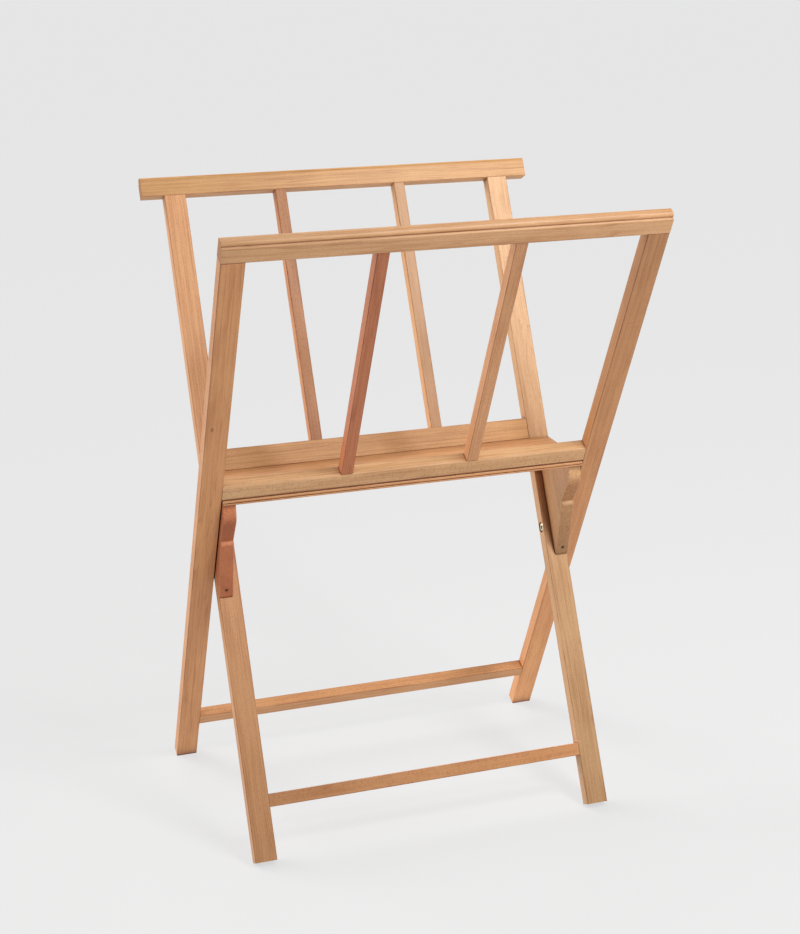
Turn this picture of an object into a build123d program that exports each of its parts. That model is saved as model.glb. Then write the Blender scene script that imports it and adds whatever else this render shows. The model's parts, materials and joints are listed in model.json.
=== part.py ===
from build123d import *

import math
import os

# Folding X-frame print rack in beech, in millimetres, Z up. It stands on the plane Z = 0 and X runs
# along its rails. Two rectangular frames cross at a pivot axis parallel to X above the origin. The
# outer frame leans its top towards -Y and the inner frame towards +Y, so a V opens between them,
# with a level tray at its bottom. A frame is laid out flat, with X across it, Y through its
# thickness and Z the distance from the pivot along its stiles, and is then leaned over.

# Stiles
RACK_WIDTH = 640.0
LEAN = 26.4  # of each frame from the vertical, in degrees
STILE_WIDTH = 33.5
STILE_THICK = 20.0
STILE_TOP = 583.0  # distance from the pivot
STILE_FOOT = -443.0
FRAME_GAP = 1.0  # between an outer and an inner stile
EASE = 1.2  # rounding of long edges

# Top rails: a flat face, then a quirk and a rounded nose above it, set back by a step
RAIL_FACE = 25.0
RAIL_STEP = 3.7
RAIL_HEIGHT = 31.3
RAIL_ARRIS = 0.8
RAIL_SHOULDER_RADIUS = 2.1
RAIL_SHOULDER_FALL = 1.0
RAIL_QUIRK_WIDTH = 1.0
RAIL_QUIRK_DEPTH = 0.5
RAIL_NOSE_RADIUS = 4.8
RAIL_CREST_RADIUS = 6.5

# Lower rails, slats and stretchers
LOWER_RAIL_TOP = 178.0
LOWER_RAIL_RADIUS = 4.0
SLAT_SIZE = 18.0
SLAT_X = 99.0
STRETCHER_SIZE = 19.0
STRETCHER_MIDDLE = -356.0

# Tray
TRAY_TOP = 535.0
TRAY_THICK = 10.0
TRAY_FRONT = -77.5
TRAY_QUIRK_HEIGHT = 2.5  # of the slot under the outer lower rail
TRAY_QUIRK_DEPTH = 2.0
BEAD_RADIUS = 1.2
BEAD_GROOVE_RISE = 3.0  # of its middle above the tray's underside
BEAD_GROOVE_WIDTH = 1.8
BEAD_GROOVE_DEPTH = 1.5

# Brackets: points of the front outline as (y, z), from the tray down to the tip
BRACKET_WIDTH = 21.0
BRACKET_FRONT = -71.5
BRACKET_BULGE = (-75.5, 500.0)
BRACKET_BULGE_RADIUS = 26.0
BRACKET_NECK = (-48.5, 459.5)
BRACKET_LEDGE = (-52.0, 455.5)
BRACKET_TIP = (-32.5, 366.0)
BRACKET_NECK_RADIUS = 3.0
BRACKET_LEDGE_RADIUS = 5.0
BRACKET_TIP_RADIUS = 4.0
BRACKET_EASE = 2.2  # rounding of the arrises between the front and the sides
BRACKET_LOW = -48.0  # where the tip meets the stile, from the pivot

# Dowels and screws
DOWEL_RADIUS = 4.0
DOWEL_LENGTH = 36.0
DOWEL_SPACING = 15.0
BRACKET_DOWEL = 82.0  # distance from the pivot
BRACKET_DOWEL_LENGTH = 27.0
SCREW_RADIUS = 1.9
SCREW_HEAD_RADIUS = 3.0
SCREW_HEAD_HEIGHT = 2.0
SCREW_LENGTH = 30.0
SCREW_SOCKET = 2.2  # across flats
SCREW_SOCKET_DEPTH = 1.6
BRACKET_SCREW_RISE = 11.0  # above the bracket's tip
TRAY_SCREW_PLACES = (5.0, -45.0)

# Pivots
BOLT_HEAD_RADIUS = 6.1
BOLT_HEAD_HEIGHT = 6.0
BOLT_HEAD_BEVEL = 0.6
BOLT_SOCKET = 6.0  # across flats
BOLT_SOCKET_DEPTH = 4.5
BOLT_SHANK_RADIUS = 4.0
BOLT_THREAD_RADIUS = 3.0
RUNNING_CLEARANCE = 0.05
COUNTERBORE_RADIUS = 8.2
COUNTERBORE_DEPTH = 6.4
INSERT_RADIUS = 6.0
INSERT_LENGTH = 18.0
INSERT_SPARE = 2.0  # left empty beyond the end of the bolt
WASHER_RADIUS = 9.0

# Worked out from the above
HALF_WIDTH = RACK_WIDTH / 2
HALF_THICK = STILE_THICK / 2
OUTER_INSIDE = HALF_WIDTH - STILE_WIDTH
INNER_OUTSIDE = OUTER_INSIDE - FRAME_GAP
INNER_INSIDE = INNER_OUTSIDE - STILE_WIDTH
OUTER_MIDDLE = HALF_WIDTH - STILE_WIDTH / 2
INNER_MIDDLE = INNER_OUTSIDE - STILE_WIDTH / 2
BRACKET_MIDDLE = INNER_OUTSIDE - BRACKET_WIDTH / 2
SIN = math.sin(math.radians(LEAN))
COS = math.cos(math.radians(LEAN))
PIVOT_HEIGHT = -STILE_FOOT * COS + HALF_THICK * SIN

# A frame's sign is that of the flat layout's Y on the side that looks into the V
OUTER = 1
INNER = -1
SIDES = {"left": -1, "right": 1}


def along_stile(height, inward):
    """Distance from the pivot of a point at a height, `inward` of the frame's middle plane."""
    return (height - PIVOT_HEIGHT - inward * SIN) / COS


def inner_front(distance):
    """Y and Z of a point on the inner stiles' front, on the V side."""
    across = HALF_THICK
    return distance * SIN - across * COS, PIVOT_HEIGHT + distance * COS + across * SIN


def lean(shape, frame):
    """Moves a shape from a frame's flat layout to its place."""
    return Pos(0, 0, PIVOT_HEIGHT) * Rot(frame * LEAN, 0, 0) * shape


def bar(x_low, x_high, thick, z_low, z_high, axis):
    """A bar about the frame's middle plane with its long edges eased."""
    centre = Pos((x_low + x_high) / 2, 0, (z_low + z_high) / 2)
    block = Box(x_high - x_low, thick, z_high - z_low)
    return centre * fillet(block.edges().filter_by(axis), EASE)


def prism(outline, x_low, x_high):
    """A solid of constant section along X. The outline is a list of (y, z, corner radius)."""
    points = [(x_low, y, z) for y, z, radius in outline]
    radii = [radius for y, z, radius in outline]
    face = make_face(FilletPolyline(*points, radius=radii, close=True))
    return extrude(face, amount=x_high - x_low, dir=(1, 0, 0))


def pin(radius, centre, axis, length):
    """A cylinder centred on a point."""
    return Plane(origin=centre, z_dir=axis) * Cylinder(radius, length)


def hex_socket(across_flats, depth, mouth, axis):
    """The empty space of a hexagon socket that goes in from its mouth along an axis."""
    space = extrude(RegularPolygon(across_flats / 2, 6, major_radius=False), depth)
    return Plane(origin=mouth, z_dir=axis) * space


def bored(wood, pins):
    """Wood with a hole for each pin that reaches into it."""
    for each in pins:
        wood = wood - each
    return wood


def frame_dowels(stile_middle, rail_end, lower_rail_base):
    """Two dowels at each end of both rails, and one at each end of the stretcher and slats."""
    across, along = (1, 0, 0), (0, 0, 1)
    lower_middle = (lower_rail_base + LOWER_RAIL_TOP) / 2
    places = []
    for side in SIDES.values():
        for offset in (-DOWEL_SPACING / 2, DOWEL_SPACING / 2):
            places.append(((side * stile_middle + offset, 0, STILE_TOP), along))
            places.append(((side * rail_end, 0, lower_middle + offset), across))
        places.append(((side * rail_end, 0, STRETCHER_MIDDLE), across))
        places.append(((side * SLAT_X, 0, LOWER_RAIL_TOP), along))
        places.append(((side * SLAT_X, 0, STILE_TOP), along))
    return [pin(DOWEL_RADIUS, centre, axis, DOWEL_LENGTH) for centre, axis in places]


def top_rail(frame):
    """A moulded rail that stands on the stiles, with its moulding on the side away from the V."""
    inside, face = frame * HALF_THICK, -frame * HALF_THICK
    step = face + frame * RAIL_STEP
    base = STILE_TOP
    shoulder = base + RAIL_FACE
    top = base + RAIL_HEIGHT
    outline = [
        (inside, base, RAIL_ARRIS),
        (face, base, RAIL_ARRIS),
        (face, shoulder - RAIL_SHOULDER_FALL, RAIL_SHOULDER_RADIUS),
        (step - frame * RAIL_QUIRK_WIDTH, shoulder, 0),
        (step, shoulder - RAIL_QUIRK_DEPTH, 0),
        (step, top, RAIL_NOSE_RADIUS),
        (inside, top, RAIL_CREST_RADIUS),
    ]
    return prism(outline, -HALF_WIDTH, HALF_WIDTH)


def lower_rail(frame, rail_end, outside_inward):
    """A rail between the stiles. Its base meets the tray's height on the V side, and outside at
    `outside_inward`, the place across the frame whose distance from the pivot it shares."""
    inside, outside = frame * HALF_THICK, -frame * HALF_THICK
    outline = [
        (inside, along_stile(TRAY_TOP, HALF_THICK), RAIL_ARRIS),
        (outside, along_stile(TRAY_TOP, outside_inward), RAIL_ARRIS),
        (outside, LOWER_RAIL_TOP, LOWER_RAIL_RADIUS),
        (inside, LOWER_RAIL_TOP, EASE),
    ]
    return prism(outline, -rail_end, rail_end)


def slat(side):
    low, high = side * SLAT_X - SLAT_SIZE / 2, side * SLAT_X + SLAT_SIZE / 2
    return bar(low, high, SLAT_SIZE, LOWER_RAIL_TOP, STILE_TOP, Axis.Z)


def stretcher(rail_end):
    low, high = STRETCHER_MIDDLE - STRETCHER_SIZE / 2, STRETCHER_MIDDLE + STRETCHER_SIZE / 2
    return bar(-rail_end, rail_end, STRETCHER_SIZE, low, high, Axis.X)


def stile(side, middle):
    low, high = side * middle - STILE_WIDTH / 2, side * middle + STILE_WIDTH / 2
    return bar(low, high, STILE_THICK, STILE_FOOT, STILE_TOP, Axis.Z)


def turned_on_x(side, x_from, x_to, radius):
    """A cylinder on the pivot axis between two distances from the middle, on one side."""
    return pin(radius, (side * (x_from + x_to) / 2, 0, 0), (1, 0, 0), x_to - x_from)


def pivot_bolt(side):
    """A shoulder bolt: socket head inside the inner stile, thread in the outer stile's insert."""
    head_back = INNER_INSIDE + COUNTERBORE_DEPTH
    head_front = head_back - BOLT_HEAD_HEIGHT
    thread_end = OUTER_INSIDE + INSERT_LENGTH - INSERT_SPARE
    head = turned_on_x(side, head_front, head_back, BOLT_HEAD_RADIUS)
    rim = (head.edges().filter_by(GeomType.CIRCLE).sort_by(Axis.X))[0 if side > 0 else -1]
    head = chamfer(rim, BOLT_HEAD_BEVEL)
    shank = turned_on_x(side, head_back, OUTER_INSIDE, BOLT_SHANK_RADIUS)
    thread = turned_on_x(side, OUTER_INSIDE, thread_end, BOLT_THREAD_RADIUS)
    mouth = (side * head_front, 0, 0)
    return head + shank + thread - hex_socket(BOLT_SOCKET, BOLT_SOCKET_DEPTH, mouth, (side, 0, 0))


def pivot_insert(side):
    """A threaded insert, open all through, flush in the outer stile's inner side."""
    body = turned_on_x(side, OUTER_INSIDE, OUTER_INSIDE + INSERT_LENGTH, INSERT_RADIUS)
    return body - turned_on_x(side, INNER_OUTSIDE, HALF_WIDTH, BOLT_THREAD_RADIUS)


def pivot_washer(side):
    """A washer against the outer stile, just clear of the inner stile."""
    near = INNER_OUTSIDE + RUNNING_CLEARANCE
    hole = BOLT_SHANK_RADIUS + RUNNING_CLEARANCE
    disc = turned_on_x(side, near, OUTER_INSIDE, WASHER_RADIUS)
    return disc - turned_on_x(side, INNER_INSIDE, HALF_WIDTH, hole)


def insert_seat(side):
    """The blind hole of an outer stile for its insert."""
    return turned_on_x(side, INNER_OUTSIDE, OUTER_INSIDE + INSERT_LENGTH, INSERT_RADIUS)


def pivot_hole(side):
    """The clearance hole and counterbore of an inner stile."""
    hole = BOLT_SHANK_RADIUS + RUNNING_CLEARANCE
    bottom = INNER_INSIDE + COUNTERBORE_DEPTH + RUNNING_CLEARANCE
    through = turned_on_x(side, 0, OUTER_INSIDE, hole)
    return through + turned_on_x(side, 0, bottom, COUNTERBORE_RADIUS)


def plain_screw(head, axis):
    """A countersunk screw: `head` is the middle of its head's face and `axis` points inwards."""
    cone = Cone(SCREW_HEAD_RADIUS, SCREW_RADIUS, SCREW_HEAD_HEIGHT)
    shank = Cylinder(SCREW_RADIUS, SCREW_LENGTH - SCREW_HEAD_HEIGHT)
    whole = Pos(0, 0, SCREW_HEAD_HEIGHT / 2) * cone
    whole += Pos(0, 0, (SCREW_LENGTH + SCREW_HEAD_HEIGHT) / 2) * shank
    return Plane(origin=head, z_dir=axis) * whole


def socketed(screw, head, axis):
    """A plain screw with a hexagon socket in its head."""
    return screw - hex_socket(SCREW_SOCKET, SCREW_SOCKET_DEPTH, head, axis)


def tray_board():
    """A level board with a bevelled back edge, and in front two beads with a groove between
    them and a quirk above them, under the outer lower rail."""
    top, low = TRAY_TOP, TRAY_TOP - TRAY_THICK
    groove, quirk = low + BEAD_GROOVE_RISE, top - TRAY_QUIRK_HEIGHT
    back_top, back_low = (inner_front(along_stile(z, HALF_THICK))[0] for z in (top, low))
    outline = [
        (back_low, low, 0),
        (TRAY_FRONT, low, BEAD_RADIUS),
        (TRAY_FRONT, groove - BEAD_GROOVE_WIDTH / 2, BEAD_RADIUS),
        (TRAY_FRONT + BEAD_GROOVE_DEPTH, groove, 0),
        (TRAY_FRONT, groove + BEAD_GROOVE_WIDTH / 2, BEAD_RADIUS),
        (TRAY_FRONT, quirk, BEAD_RADIUS),
        (TRAY_FRONT + TRAY_QUIRK_DEPTH, quirk, 0),
        (TRAY_FRONT + TRAY_QUIRK_DEPTH, top, 0),
        (back_top, top, 0),
    ]
    return prism(outline, -INNER_OUTSIDE, INNER_OUTSIDE)


def bracket(side):
    """A corbel from the tray's underside down the front of an inner stile to a blunt tip."""
    low = TRAY_TOP - TRAY_THICK
    outline = [
        (inner_front(along_stile(low, HALF_THICK))[0], low, 0),
        (BRACKET_FRONT, low, 0),
        (*BRACKET_BULGE, BRACKET_BULGE_RADIUS),
        (*BRACKET_NECK, BRACKET_NECK_RADIUS),
        (*BRACKET_LEDGE, BRACKET_LEDGE_RADIUS),
        (*BRACKET_TIP, BRACKET_TIP_RADIUS),
        (*inner_front(BRACKET_LOW), 0),
    ]
    near, far = sorted((side * INNER_OUTSIDE, side * (INNER_OUTSIDE - BRACKET_WIDTH)))
    corbel = prism(outline, near, far)
    back_middle = Vector(0, *inner_front(along_stile(low, HALF_THICK) / 2))
    forward = Vector(0, -COS, SIN)
    arrises = []
    for edge in corbel.edges():
        middle = edge @ 0.5
        crosswise = abs((edge @ 1).X - (edge @ 0).X) > 1
        on_back = abs((middle - back_middle).dot(forward)) < 0.1
        on_top = abs(middle.Z - low) < 0.1
        if not (crosswise or on_back or on_top):
            arrises.append(edge)
    return fillet(arrises, BRACKET_EASE)


def bracket_dowel(side):
    """A dowel from a bracket into its stile, square to the stile's front."""
    centre = (side * BRACKET_MIDDLE, *inner_front(BRACKET_DOWEL))
    return pin(DOWEL_RADIUS, centre, (0, -COS, SIN), BRACKET_DOWEL_LENGTH)


def bracket_screw_seat(side):
    """Head place and inward axis of the screw near a bracket's tip, square to its front."""
    ledge, tip = Vector(0, *BRACKET_LEDGE), Vector(0, *BRACKET_TIP)
    down = (tip - ledge).normalized()
    place = tip - down * BRACKET_SCREW_RISE
    return Vector(side * BRACKET_MIDDLE, place.Y, place.Z), Vector(0, -down.Z, down.Y)


def tray_screw_seats(side):
    """Head places and axes of the screws that hold the tray down on a bracket."""
    down = Vector(0, 0, -1)
    return [(Vector(side * BRACKET_MIDDLE, y, TRAY_TOP), down) for y in TRAY_SCREW_PLACES]


def outer_frame():
    """The frame with its top in front: it carries the pivot bolts, inserts and washers."""
    pins = frame_dowels(OUTER_MIDDLE, OUTER_INSIDE, along_stile(TRAY_TOP, 0))
    wood = {
        "outer_top_rail": top_rail(OUTER),
        "outer_lower_rail": lower_rail(OUTER, OUTER_INSIDE, -HALF_THICK),
        "outer_stretcher": stretcher(OUTER_INSIDE),
    }
    metal = {}
    for name, side in SIDES.items():
        wood["outer_stile_" + name] = stile(side, OUTER_MIDDLE) - insert_seat(side)
        wood["outer_slat_" + name] = slat(side)
        metal["pivot_bolt_" + name] = pivot_bolt(side)
        metal["pivot_insert_" + name] = pivot_insert(side)
        metal["pivot_washer_" + name] = pivot_washer(side)
    pieces = metal | {name: bored(body, pins) for name, body in wood.items()}
    pieces = {name: lean(body, OUTER) for name, body in pieces.items()}
    pieces["outer_dowels"] = Compound(children=[lean(each, OUTER) for each in pins])
    return pieces


def inner_frame():
    """The frame with its top behind, before the brackets are fixed to it."""
    pins = frame_dowels(INNER_MIDDLE, INNER_INSIDE, along_stile(TRAY_TOP, HALF_THICK))
    wood = {
        "inner_top_rail": top_rail(INNER),
        "inner_lower_rail": lower_rail(INNER, INNER_INSIDE, HALF_THICK),
        "inner_stretcher": stretcher(INNER_INSIDE),
    }
    for name, side in SIDES.items():
        wood["inner_stile_" + name] = stile(side, INNER_MIDDLE) - pivot_hole(side)
        wood["inner_slat_" + name] = slat(side)
    pieces = {name: lean(bored(body, pins), INNER) for name, body in wood.items()}
    pieces["inner_dowels"] = Compound(children=[lean(each, INNER) for each in pins])
    return pieces


def tray_and_brackets(frame):
    """The tray, its brackets and their fixings, and the inner stiles bored for them."""
    tray = tray_board()
    pegs, tip_screws, tray_screws = [], [], []
    pieces = {}
    for name, side in SIDES.items():
        seat = bracket_screw_seat(side)
        peg, tip_screw = bracket_dowel(side), plain_screw(*seat)
        pieces["inner_stile_" + name] = bored(frame["inner_stile_" + name], [peg, tip_screw])
        pegs.append(peg)
        tip_screws.append(socketed(tip_screw, *seat))
        seats = tray_screw_seats(side)
        down_screws = [plain_screw(*place) for place in seats]
        tray = bored(tray, down_screws)
        tray_screws += [socketed(body, *place) for body, place in zip(down_screws, seats)]
        pieces["bracket_" + name] = bored(bracket(side), [peg, tip_screw, *down_screws])
    pieces["tray_board"] = tray
    pieces["bracket_dowels"] = Compound(children=pegs)
    pieces["bracket_screws"] = Compound(children=tip_screws)
    pieces["tray_screws"] = Compound(children=tray_screws)
    return pieces


rack = outer_frame() | inner_frame()
rack |= tray_and_brackets(rack)

os.makedirs("parts", exist_ok=True)
for node, shape in rack.items():
    export_step(shape, f"parts/{node}.step")
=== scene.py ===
"""A folding print rack in oiled beech: materials, floor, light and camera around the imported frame."""

import json
import math

import bpy
from mathutils import Matrix, Vector

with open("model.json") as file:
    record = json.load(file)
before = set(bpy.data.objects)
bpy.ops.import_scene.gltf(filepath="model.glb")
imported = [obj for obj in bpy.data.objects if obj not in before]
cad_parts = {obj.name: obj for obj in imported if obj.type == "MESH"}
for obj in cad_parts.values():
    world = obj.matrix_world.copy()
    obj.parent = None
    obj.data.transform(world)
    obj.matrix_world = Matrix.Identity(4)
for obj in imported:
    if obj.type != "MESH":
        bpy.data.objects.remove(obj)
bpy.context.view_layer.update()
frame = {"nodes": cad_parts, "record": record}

MM = 0.001

# ---------------------------------------------------------------- camera
CAMERA_PLACE = (-0.8177, -2.4372, 1.3614)  # metres
CAMERA_YAW = math.radians(-18.82)
CAMERA_PITCH = math.radians(-17.91)
CAMERA_ROLL = math.radians(-0.28)
LONG_SIDE = 934  # of the picture, in pixels
FOCAL_LENGTH = 1753  # in pixels of the long side
SENSOR = 36.0  # millimetres
CLIP_END = 200.0  # metres, past the far edge of the floor


def make_camera():
    cos_pitch = math.cos(CAMERA_PITCH)
    forward = Vector((-math.sin(CAMERA_YAW), math.cos(CAMERA_YAW), 0.0))
    ahead = forward * cos_pitch + Vector((0.0, 0.0, math.sin(CAMERA_PITCH)))
    level = Vector((math.cos(CAMERA_YAW), math.sin(CAMERA_YAW), 0.0))
    upward = level.cross(ahead)
    right = level * math.cos(CAMERA_ROLL) + upward * math.sin(CAMERA_ROLL)
    top = upward * math.cos(CAMERA_ROLL) - level * math.sin(CAMERA_ROLL)
    data = bpy.data.cameras.new("camera")
    data.sensor_width = SENSOR
    data.lens = FOCAL_LENGTH / LONG_SIDE * SENSOR
    data.clip_end = CLIP_END
    camera = bpy.data.objects.new("camera", data)
    turn = Matrix((right, top, -ahead)).transposed().to_4x4()
    camera.matrix_world = Matrix.Translation(CAMERA_PLACE) @ turn
    bpy.context.scene.collection.objects.link(camera)
    bpy.context.scene.camera = camera


# ---------------------------------------------------------------- floor and light
FLOOR_SIZE = 120.0  # metres
FLOOR_SHADE = 0.15
FLOOR_ROUGHNESS = 0.9
FLOOR_GLOW = 0.64
SKY_STRENGTH = 0.30
HORIZON_STRENGTH = 0.80
HORIZON_TOP = 0.12  # sine of the height where the pale horizon has faded
LAMPS = [
    # name, place in metres, radius in metres, power in watts
    ("high_light", (0.8, -1.1, 2.1), 0.25, 80.0),
    ("front_light", (0.7, -1.9, 2.0), 0.20, 60.0),
]
SUN_SPREAD = 35  # degrees
SUNS = [
    # name, degrees round from the front towards the right, degrees above the floor, strength
    ("left_light", -90, 30, 0.5),
    ("left_back_light", -135, 35, 2.5),
    ("back_light", 180, 40, 0.7),
]


def make_floor():
    half = FLOOR_SIZE / 2
    mesh = bpy.data.meshes.new("floor")
    corners = [(-half, -half, 0), (half, -half, 0), (half, half, 0), (-half, half, 0)]
    mesh.from_pydata(corners, [], [(0, 1, 2, 3)])
    floor = bpy.data.objects.new("floor", mesh)
    bpy.context.scene.collection.objects.link(floor)
    material = bpy.data.materials.new("floor")
    material.use_nodes = True
    surface = material.node_tree.nodes["Principled BSDF"]
    surface.inputs["Base Color"].default_value = (FLOOR_SHADE, FLOOR_SHADE, FLOOR_SHADE, 1)
    surface.inputs["Emission Color"].default_value = (1, 1, 1, 1)
    surface.inputs["Emission Strength"].default_value = FLOOR_GLOW
    surface.inputs["Roughness"].default_value = FLOOR_ROUGHNESS
    surface.inputs["Specular IOR Level"].default_value = 0.0
    mesh.materials.append(material)


def make_sky():
    """A soft grey sky with a pale band on the horizon, where it meets the floor."""
    world = bpy.data.worlds.new("studio")
    world.use_nodes = True
    world.node_tree.nodes.clear()
    tree = Tree(world.node_tree)
    height = tree.split(tree.node("ShaderNodeTexCoord").outputs["Generated"])[2]
    strength = tree.ramp(height, 0.0, HORIZON_TOP, HORIZON_STRENGTH, SKY_STRENGTH)
    sky = tree.node("ShaderNodeBackground", {"Color": (1, 1, 1, 1), "Strength": strength})
    tree.node("ShaderNodeOutputWorld", {"Surface": sky.outputs[0]})
    bpy.context.scene.world = world


def add_light(name, kind, place):
    lamp = bpy.data.objects.new(name, bpy.data.lights.new(name, kind))
    lamp.rotation_mode = "QUATERNION"
    lamp.rotation_quaternion = place.to_track_quat("Z", "Y")
    lamp.location = place
    lamp.visible_camera = False
    bpy.context.scene.collection.objects.link(lamp)
    return lamp.data


def make_lights():
    for name, place, radius, power in LAMPS:
        lamp = add_light(name, "POINT", Vector(place))
        lamp.energy = power
        lamp.shadow_soft_size = radius
    for name, turn, height, strength in SUNS:
        turn, height = math.radians(turn), math.radians(height)
        level = math.cos(height)
        source = Vector((math.sin(turn) * level, -math.cos(turn) * level, math.sin(height)))
        sun = add_light(name, "SUN", source * 2)
        sun.energy = strength
        sun.angle = math.radians(SUN_SPREAD)
    bpy.context.scene.view_settings.view_transform = "Standard"


# ---------------------------------------------------------------- node helpers
OPENNESS_SAMPLES = 8


class Tree:
    """A node tree that wires nodes from Python values and sockets."""

    def __init__(self, tree):
        self.tree = tree

    def node(self, kind, inputs=(), **settings):
        made = self.tree.nodes.new(kind)
        for name, value in settings.items():
            setattr(made, name, value)
        for name, value in dict(inputs).items():
            self.feed(made.inputs[name], value)
        return made

    def feed(self, socket, value):
        if isinstance(value, bpy.types.NodeSocket):
            self.tree.links.new(value, socket)
        else:
            socket.default_value = value

    def maths(self, operation, first, second=None, third=None):
        values = [first, second, third]
        inputs = {place: value for place, value in enumerate(values) if value is not None}
        return self.node("ShaderNodeMath", inputs, operation=operation).outputs[0]

    def vector(self, operation, first, second=None, output=0):
        inputs = {0: first} if second is None else {0: first, 1: second}
        return self.node("ShaderNodeVectorMath", inputs, operation=operation).outputs[output]

    def scaled(self, vector, factors):
        return self.vector("MULTIPLY", vector, factors)

    def split(self, vector):
        return self.node("ShaderNodeSeparateXYZ", {0: vector}).outputs

    def join(self, x, y, z):
        return self.node("ShaderNodeCombineXYZ", {0: x, 1: y, 2: z}).outputs[0]

    def noise(self, vector, detail=2.0, roughness=0.5):
        inputs = {"Vector": vector, "Scale": 1.0, "Detail": detail, "Roughness": roughness}
        return self.node("ShaderNodeTexNoise", inputs, noise_dimensions="3D").outputs["Fac"]

    def ramp(self, value, low, high, to_low=0.0, to_high=1.0, smooth=True):
        inputs = {"Value": value, "From Min": low, "From Max": high, "To Min": to_low, "To Max": to_high}
        kind = "SMOOTHSTEP" if smooth else "LINEAR"
        return self.node("ShaderNodeMapRange", inputs, interpolation_type=kind).outputs["Result"]

    def openness(self, reach):
        """One where nothing is near, falling to nothing deep in a corner."""
        inputs = {"Distance": reach}
        samples = OPENNESS_SAMPLES
        return self.node("ShaderNodeAmbientOcclusion", inputs, samples=samples).outputs["AO"]

    def mix(self, share, first, second, blend="MIX"):
        made = self.node("ShaderNodeMix", data_type="RGBA", blend_type=blend)
        colours = [socket for socket in made.inputs if socket.type == "RGBA"]
        self.feed(made.inputs[0], share)
        self.feed(colours[0], first)
        self.feed(colours[1], second)
        return next(socket for socket in made.outputs if socket.type == "RGBA")


# ---------------------------------------------------------------- beech
LIGHT_WOOD = (0.664, 0.353, 0.164, 1)
DARK_WOOD = (0.440, 0.187, 0.066, 1)
FLECK_WOOD = (0.300, 0.110, 0.036, 1)
END_TINT = (0.66, 0.52, 0.42, 1)
ARRIS_TINT = (0.60, 0.44, 0.33, 1)
# Painted shade in creases and joints, and deep in corners
PAINTED_CREASE_SHADE = (0.42, 0.20, 0.10, 1)
PAINTED_CORNER_SHADE = (0.29, 0.16, 0.13, 1)
KNOT_TINT = (0.60, 0.46, 0.36, 1)
FLECK_SHARE = 0.40
# Features for each millimetre across, out of and along the grain
DRIFT_SCALE = (0.012, 0.012, 0.0035)
FIBRE_SCALE = (1.3, 1.3, 0.028)
FINE_FIBRE_SCALE = (5.0, 5.0, 0.16)
STREAK_SCALE = (0.26, 0.26, 0.0045)
CLOUD_SCALE = (0.035, 0.035, 0.012)
DRIFT = 16.0  # most that the grain wanders to and fro, in millimetres
RING_ARC_SCALE = 0.08
RING_RADIUS_SCALE = 0.11
RING_UNEVENNESS = 5.0
RING_SHARE = 0.44
LATE_WOOD_POWER = 2.4
LATE_WOOD_SHARE = 0.6
LINE_START = (0.78, 0.92)  # shares of a ring where its line fades in
LINE_END = (1.0, 0.94)
LINE_SHARE = 0.42
FLECK_SCALE = (0.13, 1.55, 0.50)  # for each millimetre towards the pith, round it and along it
KNOT_STRETCH = (1, 0.4, 0.55)
RELIEF_DEPTH = 0.00010  # metres
ARRIS_WIDTH = 1.7  # millimetres
ARRIS_CORE = 0.2  # millimetres
CREASE_REACH = 0.0045  # metres
CORNER_REACH = 0.045  # metres
FOOT_END = (-0.75, -0.50)  # share of a half length where the extra painted corner shade begins above a foot


def wandering(tree, place, shifted):
    """The place with its grain pushed a little from side to side along the bar."""
    drift = tree.node(
        "ShaderNodeTexNoise",
        {"Vector": tree.scaled(shifted, DRIFT_SCALE), "Scale": 1.0, "Detail": 2.0},
    ).outputs["Color"]
    drift = tree.vector("SUBTRACT", drift, (0.5, 0.5, 0.5))
    return tree.vector("ADD", place, tree.scaled(drift, (DRIFT, DRIFT, 0.0)))


def around_pith(tree, grain, pith):
    """Distance from the pith, length of arc round it, and distance along it."""
    from_pith = tree.vector("SUBTRACT", grain, pith)
    radius = tree.vector("LENGTH", tree.scaled(from_pith, (1, 1, 0)), output="Value")
    x, y, z = tree.split(from_pith)
    arc = tree.maths("MULTIPLY", tree.maths("ARCTAN2", y, x), tree.vector("LENGTH", pith, output="Value"))
    return radius, arc, z


def growth_rings(tree, radius, arc, ring_width):
    """Growth rings, each a slow darkening that ends in a fine line."""
    slow_arc = tree.maths("MULTIPLY", arc, RING_ARC_SCALE)
    across_rings = tree.scaled(tree.join(radius, slow_arc, 0.0), (RING_RADIUS_SCALE, 1, 1))
    unevenness = tree.noise(across_rings, 1.0)
    turns = tree.maths("DIVIDE", radius, ring_width)
    ring = tree.maths("FRACT", tree.maths("MULTIPLY_ADD", unevenness, RING_UNEVENNESS, turns))
    late = tree.maths("POWER", ring, LATE_WOOD_POWER)
    line = tree.maths("MULTIPLY", tree.ramp(ring, *LINE_START), tree.ramp(ring, *LINE_END))
    late = tree.maths("MULTIPLY", late, LATE_WOOD_SHARE)
    return tree.maths("MULTIPLY_ADD", line, LINE_SHARE, late)


def ray_flecks(tree, radius, arc, z, seed):
    """Rays show as ribbons, long towards the pith, short along the grain and thin round it."""
    spread = tree.scaled(tree.join(radius, arc, z), FLECK_SCALE)
    cells = tree.node("ShaderNodeTexVoronoi", {"Vector": tree.vector("ADD", spread, seed), "Scale": 1.0})
    core = tree.ramp(cells.outputs["Distance"], 0.52, 0.24)
    chance = tree.split(cells.outputs["Color"])[0]
    return tree.maths("MULTIPLY", core, tree.ramp(chance, 0.10, 0.75))


def arrises(tree, place, half_size):
    """One at the long corners of a bar, fading out over its faces."""
    gap = tree.vector("SUBTRACT", half_size, tree.vector("ABSOLUTE", place))
    gap_x, gap_y, _ = tree.split(gap)
    edge_x = tree.ramp(gap_x, ARRIS_WIDTH, ARRIS_CORE)
    edge_y = tree.ramp(gap_y, ARRIS_WIDTH, ARRIS_CORE)
    return tree.maths("MULTIPLY", edge_x, edge_y)


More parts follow.
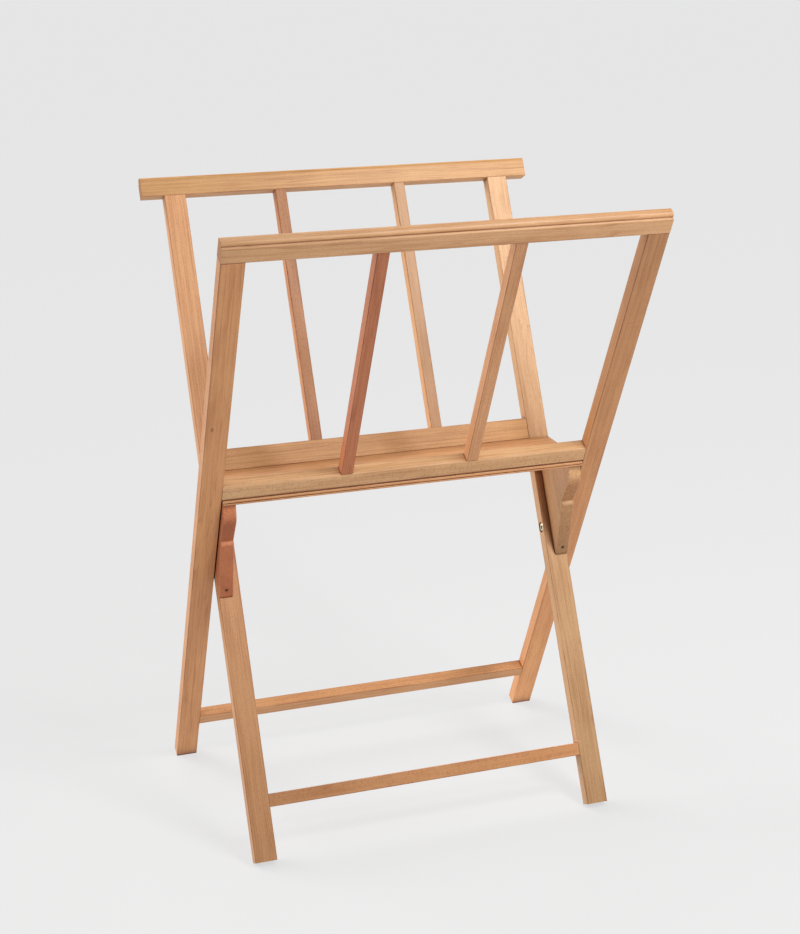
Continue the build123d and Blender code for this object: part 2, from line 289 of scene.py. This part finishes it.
def knot_mark(tree, place, knot, size):
    """A small tight knot: an oval, longer along the grain."""
    away = tree.scaled(tree.vector("SUBTRACT", place, knot), KNOT_STRETCH)
    distance = tree.vector("LENGTH", away, output="Value")
    return tree.ramp(tree.maths("DIVIDE", distance, size), 1.0, 0.25)


GROUP_INPUTS = [
    ("Place", "NodeSocketVector", (0, 0, 0)),
    ("Normal", "NodeSocketVector", (0, 0, 1)),
    ("Half Size", "NodeSocketVector", (10, 10, 10)),
    ("Pith", "NodeSocketVector", (0, 80, 0)),
    ("Seed", "NodeSocketVector", (0, 0, 0)),
    ("Ring Width", "NodeSocketFloat", 2.6),
    ("Near Tone", "NodeSocketColor", (1, 1, 1, 1)),
    ("Far Tone", "NodeSocketColor", (1, 1, 1, 1)),
    ("Side", "NodeSocketFloat", 1.0),
    ("Crease Shade", "NodeSocketFloat", 1.0),
    ("Corner Shade Boost", "NodeSocketFloat", 0.0),
    ("Knot", "NodeSocketVector", (0, 0, 9999)),
    ("Knot Size", "NodeSocketFloat", 2.0),
]


def wood_noises(tree, shifted):
    """Fibres of two sizes, long streaks, and slow clouds of tone."""
    return {
        "fibres": tree.noise(tree.scaled(shifted, FIBRE_SCALE), 3.0, 0.62),
        "fine_fibres": tree.noise(tree.scaled(shifted, FINE_FIBRE_SCALE), 2.0, 0.55),
        "streaks": tree.noise(tree.scaled(shifted, STREAK_SCALE), 3.0, 0.6),
        "clouds": tree.noise(tree.scaled(shifted, CLOUD_SCALE), 2.0, 0.5),
    }


def bare_wood(tree, rings, flecks, noises):
    """The colour of the planed wood, before the finish."""
    layers = [
        # noise, limits, what it adds between them
        ("fibres", 0.30, 0.70, -0.18, 0.30),
        ("fine_fibres", 0.30, 0.70, -0.10, 0.18),
        ("streaks", 0.32, 0.68, -0.22, 0.30),
        ("clouds", 0.30, 0.70, -0.18, 0.22),
    ]
    shade = tree.maths("MULTIPLY", rings, RING_SHARE)
    for name, low, high, least, most in layers:
        layer = tree.ramp(noises[name], low, high, least, most, smooth=False)
        shade = tree.maths("ADD", shade, layer)
    colour = tree.mix(shade, LIGHT_WOOD, DARK_WOOD)
    return tree.mix(tree.maths("MULTIPLY", flecks, FLECK_SHARE), colour, FLECK_WOOD)


def darkened(tree, given, colour, end, length, clouds):
    """End grain soaks up more oil and is darker. The arrises are darker in patches along their length.
    Creases and joints get painted shade, which partly stands for dark joint lines, and deep corners get
    painted shade too. A knot is darker.
    """
    place = given["Place"]
    # Patches along the arrises where their darkening is stronger
    arris_patchiness = tree.ramp(clouds, 0.35, 0.60, 0.35, 0.85)
    # Painted shade in creases and joints, by how closed in they are; partly it stands for dark joint
    # lines
    crease_shade = tree.ramp(tree.openness(CREASE_REACH), 0.84, 0.42)
    # Painted shade deep in corners, made deeper on chosen pieces except near their lower ends
    corner_shade_boost = tree.maths("MULTIPLY", given["Corner Shade Boost"], tree.ramp(length, *FOOT_END))
    corner_openness = tree.maths("SUBTRACT", tree.openness(CORNER_REACH), corner_shade_boost)
    tints = [
        (end, END_TINT),
        (tree.maths("MULTIPLY", arrises(tree, place, given["Half Size"]), arris_patchiness), ARRIS_TINT),
        (tree.maths("MULTIPLY", crease_shade, given["Crease Shade"]), PAINTED_CREASE_SHADE),
        (tree.ramp(corner_openness, 0.47, 0.20), PAINTED_CORNER_SHADE),
        (knot_mark(tree, place, given["Knot"], given["Knot Size"]), KNOT_TINT),
    ]
    for share, tint in tints:
        colour = tree.mix(share, colour, tree.mix(1.0, colour, tint, "MULTIPLY"))
    return colour


def toned(tree, given, colour, across, length):
    """The tone of the bar changes from one end to the other, and can differ on its sides; both changes
    are partly painted light.
    """
    reach = tree.ramp(length, -1.0, 1.0, smooth=False)
    tone = tree.mix(reach, given["Near Tone"], given["Far Tone"])
    colour = tree.mix(1.0, colour, tone, "MULTIPLY")
    side = tree.ramp(tree.ramp(across, 0.6, 0.9), 0.0, 1.0, 1.0, given["Side"], smooth=False)
    return tree.scaled(colour, tree.join(side, side, side))


def oiled_surface(tree, colour, end, flecks, noises):
    """A satin oiled finish that follows the fibres."""
    fibres = noises["fibres"]
    roughness = tree.ramp(fibres, 0.25, 0.75, 0.40, 0.54, smooth=False)
    roughness = tree.maths("MULTIPLY_ADD", end, 0.16, roughness)
    fine_relief = tree.maths("MULTIPLY", noises["fine_fibres"], 0.3)
    relief = tree.maths("MULTIPLY_ADD", fibres, 0.5, fine_relief)
    relief = tree.maths("MULTIPLY_ADD", flecks, -0.25, relief)
    bump = tree.node("ShaderNodeBump", {"Height": relief, "Strength": 0.25, "Distance": RELIEF_DEPTH})
    inputs = {
        "Base Color": colour,
        "Roughness": roughness,
        "Normal": bump.outputs["Normal"],
        "IOR": 1.45,
        "Coat Weight": 0.06,
        "Coat Roughness": 0.35,
    }
    return tree.node("ShaderNodeBsdfPrincipled", inputs)


def beech_group():
    """Beech in millimetres, with the grain along Z."""
    group = bpy.data.node_groups.new("beech", "ShaderNodeTree")
    for name, kind, value in GROUP_INPUTS:
        socket = group.interface.new_socket(name, in_out="INPUT", socket_type=kind)
        socket.default_value = value
    group.interface.new_socket("Surface", in_out="OUTPUT", socket_type="NodeSocketShader")
    tree = Tree(group)
    given = tree.node("NodeGroupInput").outputs
    place = given["Place"]
    shifted = tree.vector("ADD", place, given["Seed"])
    across, _, along = tree.split(tree.vector("ABSOLUTE", given["Normal"]))
    length = tree.split(tree.vector("DIVIDE", place, given["Half Size"]))[2]

    grain = wandering(tree, place, shifted)
    radius, arc, z = around_pith(tree, grain, given["Pith"])
    rings = growth_rings(tree, radius, arc, given["Ring Width"])
    flecks = ray_flecks(tree, radius, arc, z, given["Seed"])
    noises = wood_noises(tree, shifted)
    end = tree.ramp(along, 0.25, 0.95)
    colour = bare_wood(tree, rings, flecks, noises)
    colour = darkened(tree, given, colour, end, length, noises["clouds"])
    colour = toned(tree, given, colour, across, length)
    surface = oiled_surface(tree, colour, end, flecks, noises)
    tree.node("NodeGroupOutput", {"Surface": surface.outputs[0]})
    return group


HASH_STEP = 131
HASH_SIZE = 1_000_003
PITH_DEPTHS = (45, 130)  # millimetres
SEED_LIMITS = (-500, 500)
RING_LIMITS = (1.9, 3.4)  # millimetres


def random_from(name, low, high, salt):
    """A number between two limits that depends only on a piece's name and a salt."""
    value = 0
    for letter in name + salt:
        value = (value * HASH_STEP + ord(letter)) % HASH_SIZE
    return low + (high - low) * value / HASH_SIZE


def grain_axes(along, face):
    """The grain frame of a piece: X across it, Y out of its face and Z along the grain."""
    along, face = Vector(along).normalized(), Vector(face).normalized()
    return Matrix((face.cross(along), face, along))


def beech(group, node, axes, look):
    """Beech for one piece in its own grain frame."""
    points = [axes @ vertex.co for vertex in frame["nodes"][node].data.vertices]
    low = Vector(min(point[i] for point in points) for i in range(3))
    high = Vector(max(point[i] for point in points) for i in range(3))
    centre = axes.transposed() @ ((low + high) / 2)
    turn = axes.transposed().to_euler()

    material = bpy.data.materials.new("beech_" + node)
    material.use_nodes = True
    material.node_tree.nodes.clear()
    tree = Tree(material.node_tree)
    coordinates = tree.node("ShaderNodeTexCoord").outputs
    place = tree.node(
        "ShaderNodeMapping",
        {"Vector": coordinates["Object"], "Location": centre, "Rotation": turn},
        vector_type="TEXTURE",
    ).outputs[0]
    place = tree.scaled(place, (1 / MM, 1 / MM, 1 / MM))
    normal = tree.node(
        "ShaderNodeMapping", {"Vector": coordinates["Normal"], "Rotation": turn}, vector_type="TEXTURE"
    ).outputs[0]
    angle = random_from(node, 0, 2 * math.pi, "pith")
    depth = random_from(node, *PITH_DEPTHS, "depth")
    seed = [random_from(node, *SEED_LIMITS, salt) for salt in ("x", "y", "z")]
    shade, fade = look
    near, far = FADES[fade]
    wood = tree.node("ShaderNodeGroup", node_tree=group)
    values = {
        "Place": place,
        "Normal": normal,
        "Half Size": (high - low) / 2 / MM,
        "Pith": (depth * math.cos(angle), depth * math.sin(angle), 0),
        "Seed": seed,
        "Ring Width": RING_WIDTHS.get(node, random_from(node, *RING_LIMITS, "rings")),
        "Near Tone": (*(part * near for part in SHADES[shade]), 1),
        "Far Tone": (*(part * far for part in SHADES[shade]), 1),
        "Side": SIDES.get(node, 1.0),
        "Crease Shade": CREASE_SHADE_LEVELS.get(node, 1.0),
        "Corner Shade Boost": CORNER_SHADE_BOOSTS.get(node, 0.0),
    }
    if node in KNOTS:
        values["Knot"], values["Knot Size"] = KNOTS[node]
    for name, value in values.items():
        tree.feed(wood.inputs[name], value)
    tree.node("ShaderNodeOutputMaterial", {"Surface": wood.outputs[0]})
    return material


# ---------------------------------------------------------------- metal
SOCKET_REACH = 0.004  # metres
PAINTED_SOCKET_SHADE = (0.16, 0.13, 0.09, 1)
BRASS = (0.94, 0.82, 0.58)
DULL_BRASS = (0.76, 0.62, 0.40)
BRASS_ROUGHNESS = 0.36
BRONZE = (0.24, 0.13, 0.07)
DULL_BRONZE = (0.14, 0.07, 0.035)
BRONZE_ROUGHNESS = 0.50


def metal(name, colour, dark, roughness):
    """Plated metal with fine turning marks round X, a mottled finish and painted shade in the sockets."""
    material = bpy.data.materials.new(name)
    material.use_nodes = True
    material.node_tree.nodes.clear()
    tree = Tree(material.node_tree)
    place = tree.scaled(tree.node("ShaderNodeTexCoord").outputs["Object"], (1 / MM, 1 / MM, 1 / MM))
    mottle = tree.noise(tree.scaled(place, (0.9, 0.9, 0.9)), 3.0, 0.6)
    marks = tree.noise(tree.scaled(place, (9.0, 1.2, 1.2)), 2.0, 0.5)
    shade = tree.mix(tree.ramp(mottle, 0.35, 0.7), (*colour, 1), (*dark, 1))
    # Painted shade in the sockets and recesses, darker the more closed in they are
    socket_shade = tree.ramp(tree.openness(SOCKET_REACH), 0.80, 0.45)
    shade = tree.mix(socket_shade, shade, tree.mix(1.0, shade, PAINTED_SOCKET_SHADE, "MULTIPLY"))
    bump = tree.node("ShaderNodeBump", {"Height": marks, "Strength": 0.2, "Distance": 0.00005})
    surface = tree.node(
        "ShaderNodeBsdfPrincipled",
        {
            "Base Color": shade,
            "Metallic": 1.0,
            "Roughness": tree.ramp(marks, 0.3, 0.7, roughness - 0.06, roughness + 0.08, smooth=False),
            "Normal": bump.outputs["Normal"],
        },
    )
    tree.node("ShaderNodeOutputMaterial", {"Surface": surface.outputs[0]})
    return material


# ---------------------------------------------------------------- the pieces
def paint(node, material):
    slots = frame["nodes"][node].material_slots
    for slot in slots:
        slot.material = material


# Tones of the boards, from pale sapwood to ruddy heartwood
SHADES = {
    "cream": (1.05, 1.15, 1.20),
    "pale": (0.95, 1.00, 1.05),
    "amber": (1.00, 1.00, 0.80),
    "honey": (1.00, 0.95, 0.90),
    "dun": (0.80, 0.80, 0.75),
    "rosy": (0.90, 0.85, 0.85),
    "tan": (0.95, 0.85, 0.75),
    "russet": (0.90, 0.60, 0.55),
    "brown": (0.65, 0.50, 0.35),
    "ruddy": (0.70, 0.45, 0.40),
}
# Lightness of a board at its left or lower end, and at its other end; partly the board's own tone and
# partly painted light, lighter at the end that the lamps and the floor's bounce reached more
FADES = {
    "even": (1.0, 1.0),
    "rising": (0.9, 1.0),
    "climbing": (0.8, 1.1),
    "soaring": (0.7, 1.4),
    "falling": (1.1, 0.9),
    "plunging": (1.4, 0.7),
}
LOOKS = {
    "outer_top_rail": ("pale", "rising"),
    "outer_lower_rail": ("cream", "rising"),
    "outer_stile_left": ("tan", "falling"),
    "outer_stile_right": ("tan", "plunging"),
    "outer_slat_left": ("ruddy", "falling"),
    "outer_slat_right": ("rosy", "falling"),
    "outer_stretcher": ("honey", "even"),
    "inner_top_rail": ("amber", "rising"),
    "inner_lower_rail": ("amber", "rising"),
    "inner_stile_left": ("honey", "climbing"),
    "inner_stile_right": ("cream", "climbing"),
    "inner_slat_left": ("brown", "even"),
    "inner_slat_right": ("dun", "even"),
    "inner_stretcher": ("tan", "climbing"),
    "bracket_left": ("russet", "even"),
    "bracket_right": ("cream", "soaring"),
    "tray_board": ("honey", "rising"),
}
DOWEL_LOOK = ("pale", "even")
# Lightness of a board's side faces, where it differs from the front; partly the wood's own tone on that
# cut and partly painted light and shade on faces turned another way to the lamps
SIDES = {
    "outer_top_rail": 0.85,
    "outer_stile_right": 0.9,
    "outer_slat_left": 1.1,
    "outer_slat_right": 1.1,
    "inner_slat_left": 1.5,
    "inner_slat_right": 1.5,
    "bracket_right": 0.85,
}
# Single pieces: a board with wide rings, two rails with fainter painted crease shade, a stile with deeper
# painted corner shade, and a knot
RING_WIDTHS = {"inner_lower_rail": 5.2}
CREASE_SHADE_LEVELS = {"outer_top_rail": 0.25, "inner_top_rail": 0.25}
CORNER_SHADE_BOOSTS = {"inner_stile_right": 0.3}
KNOTS = {"outer_stile_left": ((-7.6, -10.0, 225.0), 3.2)}


def frame_lean():
    """The angle of the frames from the vertical, from the face that the pictures lean on."""
    mounts = frame["record"]["mounts"]
    axis = next(mount["axis"] for mount in mounts if mount["name"] == "front_support_face")
    return math.atan2(axis[2], axis[1])


def wood_axes(node, lean):
    """The grain frame of a wooden node, which leans with its frame."""
    sign = -1 if node.startswith("outer") else 1
    upward = Vector((0, sign * math.sin(lean), math.cos(lean)))
    inward = Vector((0, -sign * math.cos(lean), math.sin(lean)))
    rail_way = Vector((1, 0, 0))
    if node.startswith("bracket") or node.endswith("_dowels"):
        return grain_axes(upward, rail_way)
    if node.startswith("tray"):
        return grain_axes(rail_way, (0, 0, 1))
    if "rail" in node or "stretcher" in node:
        return grain_axes(rail_way, inward)
    return grain_axes(upward, inward)


def paint_wood():
    group = beech_group()
    lean = frame_lean()
    looks = dict(LOOKS)
    for node in frame["nodes"]:
        if node.endswith("_dowels"):
            looks[node] = DOWEL_LOOK
    for node, look in looks.items():
        paint(node, beech(group, node, wood_axes(node, lean), look))


def paint_metal():
    brass = metal("brass_plate", BRASS, DULL_BRASS, BRASS_ROUGHNESS)
    bronze = metal("bronzed_steel", BRONZE, DULL_BRONZE, BRONZE_ROUGHNESS)
    for node in frame["nodes"]:
        if node.startswith("pivot_"):
            paint(node, brass)
        elif node.endswith("_screws"):
            paint(node, bronze)


make_camera()
make_floor()
make_sky()
make_lights()
paint_wood()
paint_metal()
